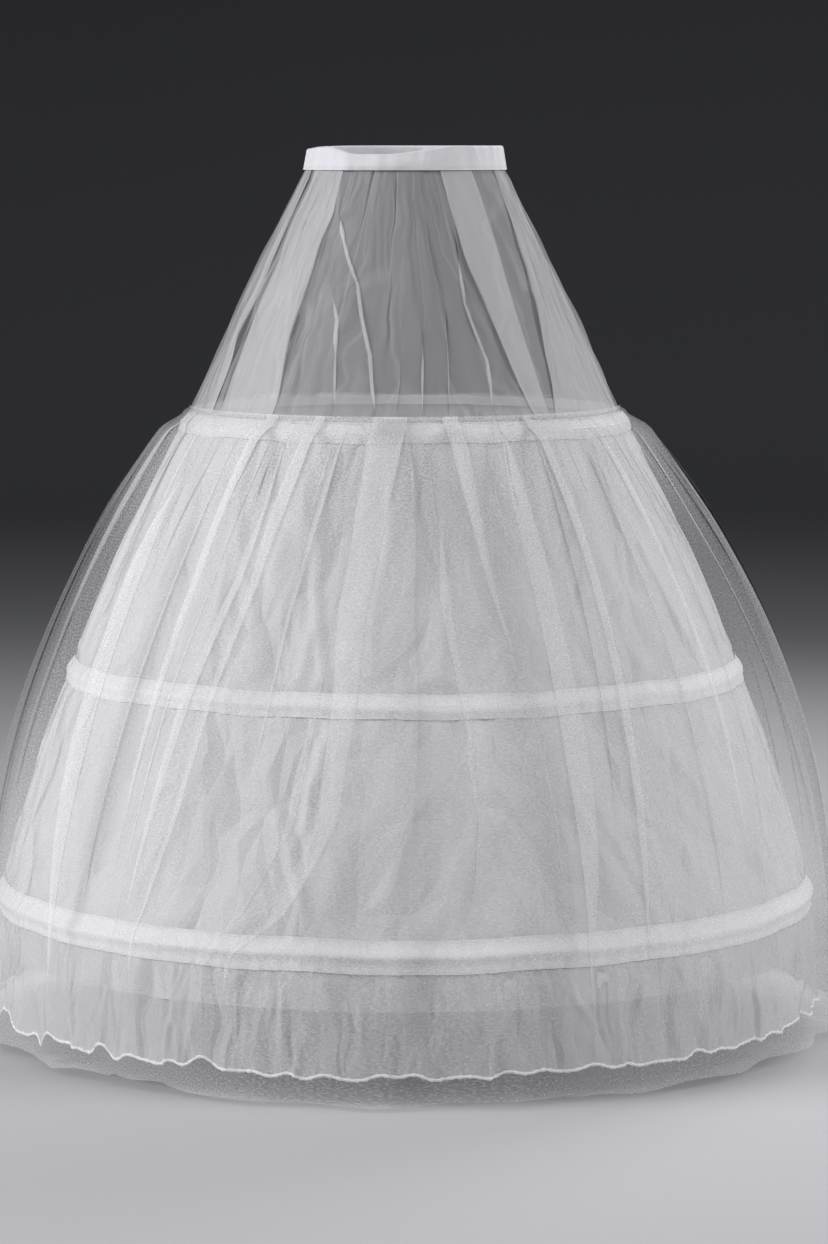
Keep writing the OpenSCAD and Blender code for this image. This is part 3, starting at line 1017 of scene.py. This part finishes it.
@dataclass
class LiningTier:
    """One creased strip of lining between two levels.

    Attributes:
        layout: The garment's sizes.
        level: Which tier it is, as the CAD node's name.
        top: Height of its upper edge.
        bottom: Height of its lower edge.
        folds: Folds that it starts with.
        waves: Shortest and longest crease.
        slant: How far the creases lean.
        fullness: Length of the cloth round and down, as a share of its place.
        seed: Seed of its creases.
        columns: Columns of points.
        panels: Panels that it is sewn from.
        row_pitch: Distance between rows of points.
        grip: How far past its casings it is held.
    """

    layout: Layout
    level: str
    top: float
    bottom: float
    folds: FoldField
    waves: tuple[float, float]
    slant: float
    fullness: tuple[float, float]
    seed: int
    columns: int
    panels: int = 5
    row_pitch: float = 5.0 * MM
    grip: float = 4.0 * MM

    def _sewn(self, z: float) -> bool:
        """Whether the strip is held at a height, by its upper seam or by a casing."""
        return abs(z - self.top) < 1e-6 or any(
            abs(z - hoop.height) < 0.5 * hoop.tape + self.grip for hoop in self.layout.hoops)

    def build(self) -> bpy.types.Object:
        """Makes the strip and lets it wrinkle between the rows where its casings hold it.

        Returns:
            The strip.
        """
        lay = self.layout
        rows = int((self.top - self.bottom) / self.row_pitch) + 1
        z = np.linspace(self.top, self.bottom, rows)[:, None]
        base = lay.lining_r(z)
        girth = TURN * float(base.max())
        held = np.array([float(self._sewn(height)) for height in z[:, 0]])
        radius, angle, z = np.broadcast_arrays(base, ring_angles(self.columns)[None, :], z)
        u, v = angle * (girth / TURN), self.top - z
        smooth = polar(radius, angle, z)
        rough = 1.0 * MM * crinkle(u, v, girth, self.waves, self.slant, self.seed)
        uneven = np.clip(crinkle(u, v, girth, (0.15, 0.4), 1.0, self.seed + 1), -1.0, 1.0)
        start = self.folds.hang(radius, angle, z, rough, (1.0 - held)[:, None])
        share = 1.0 + (self.fullness[0] - 1.0) * (1.0 + 0.5 * uneven)
        grid = Relaxer(140, bend=0.12).settle(start, smooth, (share, self.fullness[1]), held)
        slant = np.concatenate([[0.0], np.cumsum(np.hypot(np.diff(base[:, 0]), np.diff(v[:, 0])))])
        piece = skin(f"{self.level}_cloth", grid, girth, slant)
        cloth = replace(LINING_CLOTH, name=f"{LINING_CLOTH.name}_{self.level}", panel_mm=girth / MM / self.panels)
        finish_piece(piece, cloth.material(), "lining_cloth", self.level)
        return piece


@dataclass
class Casing:
    """The tape over one hoop: flat along its two sewn edges, with the wire standing out in the middle.

    Attributes:
        layout: The garment's sizes.
        level: Which hoop it holds.
        hoop: Where that hoop runs.
        seed: Seed of its puckers.
        tone: Its colour, as sRGB hex.
        lift: How far its upper edge stands off the lining.
        lower_lift: How far its lower edge does.
        ridge: How far the wire lifts its middle.
        ridge_half: Half width of that ridge.
        slack: Flat width as a share of its height, for the way over the wire.
        seam_mm: Distance of each row of stitches from its edge.
        columns: Columns of points.
        rows: Rows of points.
    """

    layout: Layout
    level: str
    hoop: HoopLine
    seed: int
    tone: str = TAPE_CLOTH.colour
    lift: float = 0.8 * MM
    lower_lift: float = 0.8 * MM
    ridge: float = 4.0 * MM
    ridge_half: float = 7.0 * MM
    slack: float = 1.06
    seam_mm: float = 1.8
    columns: int = 600
    rows: int = 21

    def build(self) -> bpy.types.Object:
        """Makes the tape over its hoop.

        Returns:
            The casing tape.
        """
        lay = self.layout
        angle = ring_angles(self.columns)[None, :]
        s = np.linspace(1.0, -1.0, self.rows)[:, None]
        rng = np.random.default_rng(self.seed)
        pucker = waves(rng, angle, (61, 83, 109, 137, 171), 0.1, 0.3)
        sway = waves(rng, angle, (5, 9, 14, 23), 0.2, 0.6)
        wander = waves(rng, angle, (2, 3, 5, 7), 0.2, 0.8)
        level = self.hoop.height + s * self.hoop.tape / 2
        across = s * self.hoop.tape / 2 - wander
        stand = self.lift + (self.lower_lift - self.lift) * ease(-s)
        radius = (lay.lining_r(np.broadcast_to(level, across.shape)) + stand
                  + self.ridge * np.exp(-(across / self.ridge_half) ** 2) + pucker * (0.2 + s * s))
        girth = TURN * self.hoop.radius
        flat_v = (1.0 - s[:, 0]) * self.hoop.tape / 2 * self.slack
        piece = skin(f"{self.level}_casing_tape", polar(radius, angle, level + sway), girth, flat_v)
        # Along the creases the tape takes the tape cloth's second colour: painted shade on the white tapes, a painted
        # highlight on the greyer top one.
        tape = replace(TAPE_CLOTH, name=f"{TAPE_CLOTH.name}_{self.level}", colour=self.tone,
                       stitch_mm=(self.seam_mm, self.hoop.tape / MM * self.slack - self.seam_mm))
        finish_piece(piece, tape.material(), "casing_tape", f"{self.level}_casing")
        return piece


@dataclass
class Flounce:
    """The strip that hangs from the bottom casing, with its rippled, overlocked hem."""

    layout: Layout
    columns: int = 900
    rows: int = 28
    fullness: float = 1.07
    thread_r: float = 1.1 * MM
    stitches: int = 300

    def build(self) -> list[bpy.types.Object]:
        """Makes the strip and the thread along its hem.

        Returns:
            The flounce and its overlocked edge.
        """
        lay = self.layout
        angle = ring_angles(self.columns)[None, :]
        t = np.linspace(0.0, 1.0, self.rows)[:, None]
        rng = np.random.default_rng(21)
        hem = waves(rng, angle, (7, 15, 26, 41, 63, 88), 0.6, 1.6)
        hem = hem * (0.8 + 1.3 * np.exp(-((np.degrees(turn(angle)) + 52.0) / 30.0) ** 2))
        drop = lay.flounce_top - lay.flounce_bottom - 4.0 * MM
        top_r = lay.hoops[2].radius + 1.1 * MM
        radius = np.broadcast_to(top_r + (lay.flounce_r - top_r) * t, (self.rows, self.columns))
        angle = np.broadcast_to(angle, radius.shape)
        z = lay.flounce_top - drop * t + hem * t ** 2
        smooth = polar(radius, angle, z)
        girth = TURN * lay.flounce_r * self.fullness
        flat_u = np.linspace(0.0, girth, self.columns + 1)
        folds = FoldField([]).scatter(8, 64, lay.flounce_top, lay.flounce_bottom, (0.8 * MM, 3.6 * MM),
                                      (6.0 * MM, 18.0 * MM), 2.4, (0.1, 0.6), (0.5, 1.0))
        rough = 1.2 * MM * crinkle(flat_u[:-1], t * drop, girth, (0.025, 0.09), 0.7, 22)
        uneven = np.clip(crinkle(flat_u[:-1], t * drop, girth, (0.15, 0.5), 0.6, 23), -1.0, 1.0)
        start = folds.hang(radius, angle, z, rough, ease(t / 0.15))
        share = 1.0 + (self.fullness - 1.0) * (1.0 + 0.5 * uneven) * (0.3 + 0.7 * t)
        held = (t < 0.02).astype(float)
        least = np.full(self.rows, lay.hoops[2].radius + 0.8 * MM)
        grid = Relaxer(150, bend=0.07).settle(start, smooth, (share, 1.01), held, least)
        piece = skin("flounce_cloth", grid, flat_u, t[:, 0] * drop)
        finish_piece(piece, FLOUNCE_CLOTH.material(), "flounce_cloth", "flounce")
        edge = self._edge(grid[-1], flat_u)
        return [piece, edge]

    def _edge(self, line: Array, flat_u: Array) -> bpy.types.Object:
        """Wraps the overlock thread along the hem.

        Args:
            line: Points along the hem.
            flat_u: Flat distance along it.

        Returns:
            The thread edge.
        """
        around = np.linspace(0.0, TURN, 9)[:, None]
        outward = line * np.array([1.0, 1.0, 0.0])
        outward = outward / np.linalg.norm(outward, axis=1)[:, None]
        beat = 1.0 + 0.25 * np.cos(np.arange(len(line)) * TURN * self.stitches / len(line))[None, :, None]
        tube = line[None] + self.thread_r * beat * (
            np.cos(around)[..., None] * outward[None] * 0.7 + np.sin(around)[..., None] * np.array([0.0, 0.0, 1.5]))
        edge = skin("flounce_overlock", tube[::-1], flat_u, around[:, 0] * self.thread_r)
        finish_piece(edge, OVERLOCK_THREAD.material(), "flounce_cloth")
        return edge


@dataclass
class NetOverlay:
    """The loose net gathered into the hip seam, with long folds and a raw lower edge.

    Attributes:
        layout: The garment's sizes.
        columns: Columns of points.
        rows: Rows of points.
        puff: How far the gathers stand out below the seam.
        flare_power: How quickly it spreads below the hip.
        lap: How far it laps up over the seam.
        fold: Height of its broad waves.
        folds: Number of those waves.
        fullness: Its flat width, as a share of its hem's girth.
        cut: Its area, as a share of a rectangle of its width and length. Not used.
        drifts: Sideways pulls that lead its main folds along the photograph's.
    """

    layout: Layout
    columns: int = 1200
    rows: int = 80
    puff: float = 16.0 * MM
    flare_power: float = 2.3
    lap: float = 5.0 * MM
    fold: float = 8.0 * MM
    folds: int = 22
    fullness: float = 1.14
    cut: float = 0.85
    drifts: tuple[Drift, ...] = (
        Drift(-3.5, 16.0, ((0.0, -0.262), (-5.1, -0.44), (-5.5, -0.53), (-7.3, -0.64), (-13.5, -0.73), (-19.5, -0.77),
                           (-22.0, -0.90))),
        Drift(12.0, 9.0, ((0.0, -0.262), (3.0, -0.40), (7.0, -0.53), (11.0, -0.70))),
        Drift(-26.0, 10.0, ((0.0, -0.262), (-3.0, -0.42), (-7.0, -0.52), (-13.0, -0.76))),
    )

    def _profile(self, z: Array) -> Array:
        """Radius of the net without its folds.

        Args:
            z: Heights.

        Returns:
            Radii.
        """
        lay = self.layout
        fall = np.clip((lay.seam_z - z) / (lay.seam_z - lay.net_bottom), 0.0, 1.0)
        start = lay.seam_r + 1.6 * MM + self.puff * ease((lay.seam_z - z) / (20.0 * MM))
        return start + (lay.net_r - start) * (1.0 - (1.0 - fall) ** self.flare_power)

    def _under(self, z: Array) -> Array:
        """Least radius at which the net clears what it hangs over.

        Args:
            z: Heights of the rows.

        Returns:
            Radii.
        """
        lay = self.layout
        wall = lay.lining_r(z) + sum(5.0 * MM * np.exp(-((z - h.height) / h.tape) ** 2) for h in lay.hoops)
        low = lay.flounce_r + 6.0 * MM
        return np.where(z > lay.seam_z, lay.seam_r - 5.0 * MM, np.where(z > lay.flounce_top, wall + 3.0 * MM, low))

    def build(self) -> bpy.types.Object:
        """Makes the net.

        Returns:
            The overlay.
        """
        lay = self.layout
        t = np.linspace(0.0, 1.0, self.rows)[:, None] ** 1.25
        top = lay.seam_z + self.lap
        level = top + (lay.net_bottom - top) * t
        thread = ring_angles(self.columns)[None, :]
        rng = np.random.default_rng(33)
        hem = waves(rng, thread, (2, 3, 5, 9, 14, 27), 0.8, 2.4)
        z = level + hem * t ** 3
        thread = np.broadcast_to(thread, z.shape)
        angle = thread + sum(drift.pull(thread, z) for drift in self.drifts) + t * sum(
            math.radians(rng.uniform(0.8, 1.8)) * np.sin(n * thread + rng.uniform(0, 6.3)) for n in (5, 8, 11, 14))
        twist = np.radians(25.0 + 40.0 * (lay.seam_z - level) / (lay.seam_z - lay.net_bottom))
        base = (self._profile(level) + 5.0 * MM * np.sin(angle) * ease(t / 0.4)
                + self.fold * ease((top - 9.0 * MM - level) / 0.11) * (
                    0.62 * np.cos(self.folds * angle + twist)
                    + 0.38 * np.cos((self.folds - 5) * angle + math.radians(140.0) - twist)))
        pleating = FoldField([
            Fold(((-3.5, -0.16), (-3.5, -0.80)), 7.0 * MM, 20.0 * MM, 2.2, 0.12, 0.6, 0.24),
            Fold(((12.0, -0.2), (12.0, -0.58)), 5.0 * MM, 11.0 * MM, 1.9, 0.12, 0.5, 0.26),
            Fold(((8.0, -0.52), (8.0, -0.74)), 4.0 * MM, 6.0 * MM, 1.5, 0.08, 0.6),
            Fold(((33.0, -0.2), (33.0, -0.77)), 5.0 * MM, 10.0 * MM, 1.7, 0.12, 1.1, 0.3),
            Fold(((-22.0, -0.2), (-22.0, -0.77)), 5.0 * MM, 10.0 * MM, 1.7, 0.12, 1.1, 0.3),
            Fold(((-36.0, -0.2), (-36.0, -0.64)), 4.0 * MM, 9.0 * MM, 1.8, 0.12, 0.6, 0.3),
        ])
        pleating.scatter(41, 44, top, lay.net_bottom + 0.13, (1.5 * MM, 4.5 * MM), (4.0 * MM, 14.0 * MM), 0.0,
                         (0.7, 2.1), (0.3, 1.0), 0.34)
        pleating.scatter(42, 130, top, lay.seam_z - 0.16, (0.8 * MM, 2.4 * MM), (2.4 * MM, 4.5 * MM), 0.0,
                         (0.8, 2.2), (0.25, 0.9))
        moved_r, moved_a = pleating.apply(base, thread, z)
        free = ease((lay.seam_z - z) / 0.02)
        radius = np.maximum(base + (moved_r - base - 2.0 * MM) * (0.15 + 0.85 * free), self._under(level))
        grid = polar(radius, angle + moved_a - thread, z)
        girth = TURN * lay.net_r * self.fullness
        slant = math.hypot(lay.net_r - lay.seam_r, top - lay.net_bottom)
        piece = skin("net_overlay_cloth", grid, girth, t[:, 0] * slant)
        finish_piece(piece, NET_CLOTH.material(), "net", "net_overlay")
        return piece


@dataclass
class HipBinding:
    """The tape inside the hip seam, which keeps the gathers from stretching."""

    layout: Layout
    columns: int = 360
    rows: int = 7
    least_height: float = 10.4 * MM

    def build(self) -> bpy.types.Object:
        """Makes the tape.

        Returns:
            The binding.
        """
        low, high = (Vector(corner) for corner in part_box("hip_binding"))
        middle, half = (low.z + high.z) / 2, max(high.z - low.z, self.least_height) / 2
        angle = ring_angles(self.columns)[None, :]
        s = np.linspace(1.0, -1.0, self.rows)[:, None]
        rng = np.random.default_rng(91)
        sway = waves(rng, angle, (11, 19, 31, 47), 0.1, 0.25)
        grid = polar(high.x - 0.7 * MM + sway * s, angle, middle + half * s + sway)
        girth = TURN * high.x
        piece = skin("hip_binding_tape", grid, girth, (1.0 - s[:, 0]) * half)
        # Its second colour, darker, is painted shade along the tape's creases.
        tape = replace(TAPE_CLOTH, name=f"{TAPE_CLOTH.name}_hip", colour="B9BBC0", shade="B4B6BB",
                       stitch_mm=(half / MM,))
        finish_piece(piece, tape.material(), "binding_tape", "hip_binding")
        return piece


@dataclass
class HoopParts:
    """The rigid CAD pieces that stay as they are inside the casings: hoop wires and ferrules."""

    levels: tuple[str, ...] = ("top", "middle", "bottom")

    def dress(self) -> None:
        """Gives each kept CAD node its material."""
        for part, finish in (("hoop", WIRE_COAT.material()), ("ferrule", FERRULE_METAL.material())):
            for level in self.levels:
                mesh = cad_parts[f"{level}_{part}"].data
                mesh.materials.clear()
                mesh.materials.append(finish)
                log.info("%s_%s: dressed as %s", level, part, finish.name)


@dataclass
class Studio:
    """Floor, backdrop, soft lights and the camera at the photograph's angle.

    Attributes:
        layout: The garment's sizes.
        focal_px: Focal length in pixels of the photograph.
        distance: Distance of the camera from the garment's axis.
        pitch: How far the camera looks down.
        eye_z: Height of the camera.
        aside: How far the camera stands to the right.
        floor_gap: Gap between the net's hem and the floor.
        softbox: Width of the soft lights.
        spread: Angle over which they give light, so that the floor below them isn't lit.
    """

    layout: Layout
    focal_px: float = 4362.0
    distance: float = 4.6
    pitch: float = math.radians(6.28)
    eye_z: float = 0.0163
    aside: float = 0.0095
    floor_gap: float = 2.0 * MM
    softbox: float = 1.8
    spread: float = math.radians(120.0)

    def build(self) -> None:
        """Sets up the whole studio."""
        self._ground()
        self._lights()
        self._camera()
        bpy.context.scene.view_settings.view_transform = "Standard"
        bpy.context.scene.cycles.transparent_max_bounces = 64

    def _ground(self) -> None:
        """Makes a round floor that curves up into a backdrop all round, which is clear from outside."""
        floor_z = self.layout.net_bottom - 8.0 * MM - self.floor_gap
        reach, bend, wall, count = 6.6, 1.4, 1.2, 72
        arc = [(reach + bend * math.sin(t), bend * (1.0 - math.cos(t))) for t in np.linspace(0, math.pi / 2, 13)]
        side = [(2.0, 0.0), (4.5, 0.0)] + arc + [(reach + bend, bend + wall)]
        spokes = [TURN * k / count for k in range(count)]
        rings = [(r * math.cos(a), r * math.sin(a), floor_z + z) for r, z in side for a in spokes]
        verts = [(0.0, 0.0, floor_z)] + rings
        after = [(k, (k + 1) % count) for k in range(count)]
        faces: list[tuple[int, ...]] = [(0, 1 + k, 1 + n) for k, n in after]
        for ring in range(len(side) - 1):
            low, high = 1 + ring * count, 1 + (ring + 1) * count
            faces += [(low + k, high + k, high + n, low + n) for k, n in after]
        mesh = bpy.data.meshes.new("studio_floor")
        mesh.from_pydata(verts, [], faces)
        mesh.polygons.foreach_set("use_smooth", [True] * len(faces))
        floor = bpy.data.objects.new("studio_floor", mesh)
        bpy.context.scene.collection.objects.link(floor)
        paper = bpy.data.materials.new("matt_paper")
        paper.use_nodes = True
        tree = paper.node_tree
        shader = tree.nodes["Principled BSDF"]
        place = add_node(tree, "ShaderNodeTexCoord").outputs["Object"]
        away = add_node(tree, "ShaderNodeVectorMath", {0: place}, operation="LENGTH").outputs["Value"]
        hung = add_node(tree, "ShaderNodeMapRange", {"Value": away, "From Min": 1.4, "From Max": reach},
                        interpolation_type="SMOOTHSTEP").outputs["Result"]
        tone = add_node(tree, "ShaderNodeMix", {"Factor": hung, "A": linear(FLOOR_TONE), "B": linear(WALL_TONE)},
                        data_type="RGBA")
        tree.links.new(tone.outputs["Result"], shader.inputs["Base Color"])
        shader.inputs["Roughness"].default_value = 0.9
        behind = add_node(tree, "ShaderNodeNewGeometry").outputs["Backfacing"]
        clear = add_node(tree, "ShaderNodeBsdfTransparent").outputs["BSDF"]
        seen = add_node(tree, "ShaderNodeMixShader", {0: behind, 1: shader.outputs["BSDF"], 2: clear})
        tree.links.new(seen.outputs[0], tree.nodes["Material Output"].inputs["Surface"])
        mesh.materials.append(paper)

    def _lights(self) -> None:
        """Adds a broad light from each side, the left one stronger, a weak one from behind and an even surround."""
        for name, place, power in (
            ("left_softbox", (-2.7, -1.1, 0.9), 44.0),
            ("right_softbox", (2.7, -1.1, 0.9), 28.0),
            ("back_softbox", (1.6, 2.6, 1.8), 30.0),
        ):
            lamp = bpy.data.lights.new(name, "AREA")
            lamp.shape = "SQUARE"
            lamp.size = self.softbox
            lamp.energy = power
            lamp.spread = self.spread
            holder = bpy.data.objects.new(name, lamp)
            holder.location = place
            aim = Vector((0.0, 0.0, -0.45)) - Vector(place)
            holder.rotation_euler = aim.to_track_quat("-Z", "Y").to_euler()
            bpy.context.scene.collection.objects.link(holder)
        world = bpy.data.worlds.new("studio_surround")
        world.use_nodes = True
        glow = world.node_tree.nodes["Background"]
        glow.inputs["Color"].default_value = linear("E2E3E6")
        glow.inputs["Strength"].default_value = 0.22
        bpy.context.scene.world = world

    def _camera(self) -> None:
        """Adds the camera."""
        lens = bpy.data.cameras.new("photo_camera")
        lens.sensor_fit = "VERTICAL"
        lens.sensor_height = 36.0
        lens.lens = 36.0 * self.focal_px / PHOTO_H
        lens.clip_end = 50.0
        camera = bpy.data.objects.new("photo_camera", lens)
        camera.location = (self.aside, -self.distance, self.eye_z)
        camera.rotation_euler = Euler((math.pi / 2 - self.pitch, 0.0, 0.0))
        bpy.context.scene.collection.objects.link(camera)
        bpy.context.scene.camera = camera


def main() -> None:
    """Builds every piece in order, then the studio."""
    logging.basicConfig(level=logging.INFO, format="%(name)s: %(message)s")
    bpy.ops.object.select_all(action="DESELECT")
    layout = Layout.from_frame()
    log.info("layout: %s", layout)
    top, middle, bottom = layout.hoops
    Waistband(layout).build()
    Yoke(layout).build()
    upper_folds = FoldField([]).scatter(51, 60, layout.seam_z, middle.height, (0.8 * MM, 3.0 * MM),
                                        (5.0 * MM, 14.0 * MM), 4.0, (0.1, 0.4), (0.3, 0.9))
    lower_folds = FoldField([
        Fold(((23.0, -0.545), (36.0, -0.74)), 3.0 * MM, 6.0 * MM, 0.4),
        Fold(((9.5, -0.545), (18.0, -0.70)), 3.0 * MM, 9.0 * MM, 0.4),
    ]).scatter(52, 40, middle.height, bottom.height, (0.8 * MM, 3.0 * MM), (6.0 * MM, 16.0 * MM), 7.0,
               (0.1, 0.4), (0.2, 0.7))
    LiningTier(layout, "upper_tier", layout.seam_z - 0.8 * MM, middle.height, upper_folds, (0.04, 0.15), 0.5,
               (1.02, 1.006), 61, 480).build()
    LiningTier(layout, "lower_tier", middle.height, layout.tail_z, lower_folds, (0.05, 0.18), 0.7,
               (1.016, 1.002), 71, 600).build()
    Casing(layout, "top", top, 81, tone="DFE0E4", ridge=3.2 * MM).build()
    Casing(layout, "middle", middle, 82).build()
    Casing(layout, "bottom", bottom, 83, lower_lift=2.2 * MM).build()
    Flounce(layout).build()
    NetOverlay(layout).build()
    HipBinding(layout).build()
    HoopParts().dress()
    Studio(layout).build()


if __name__ == "__main__":
    main()
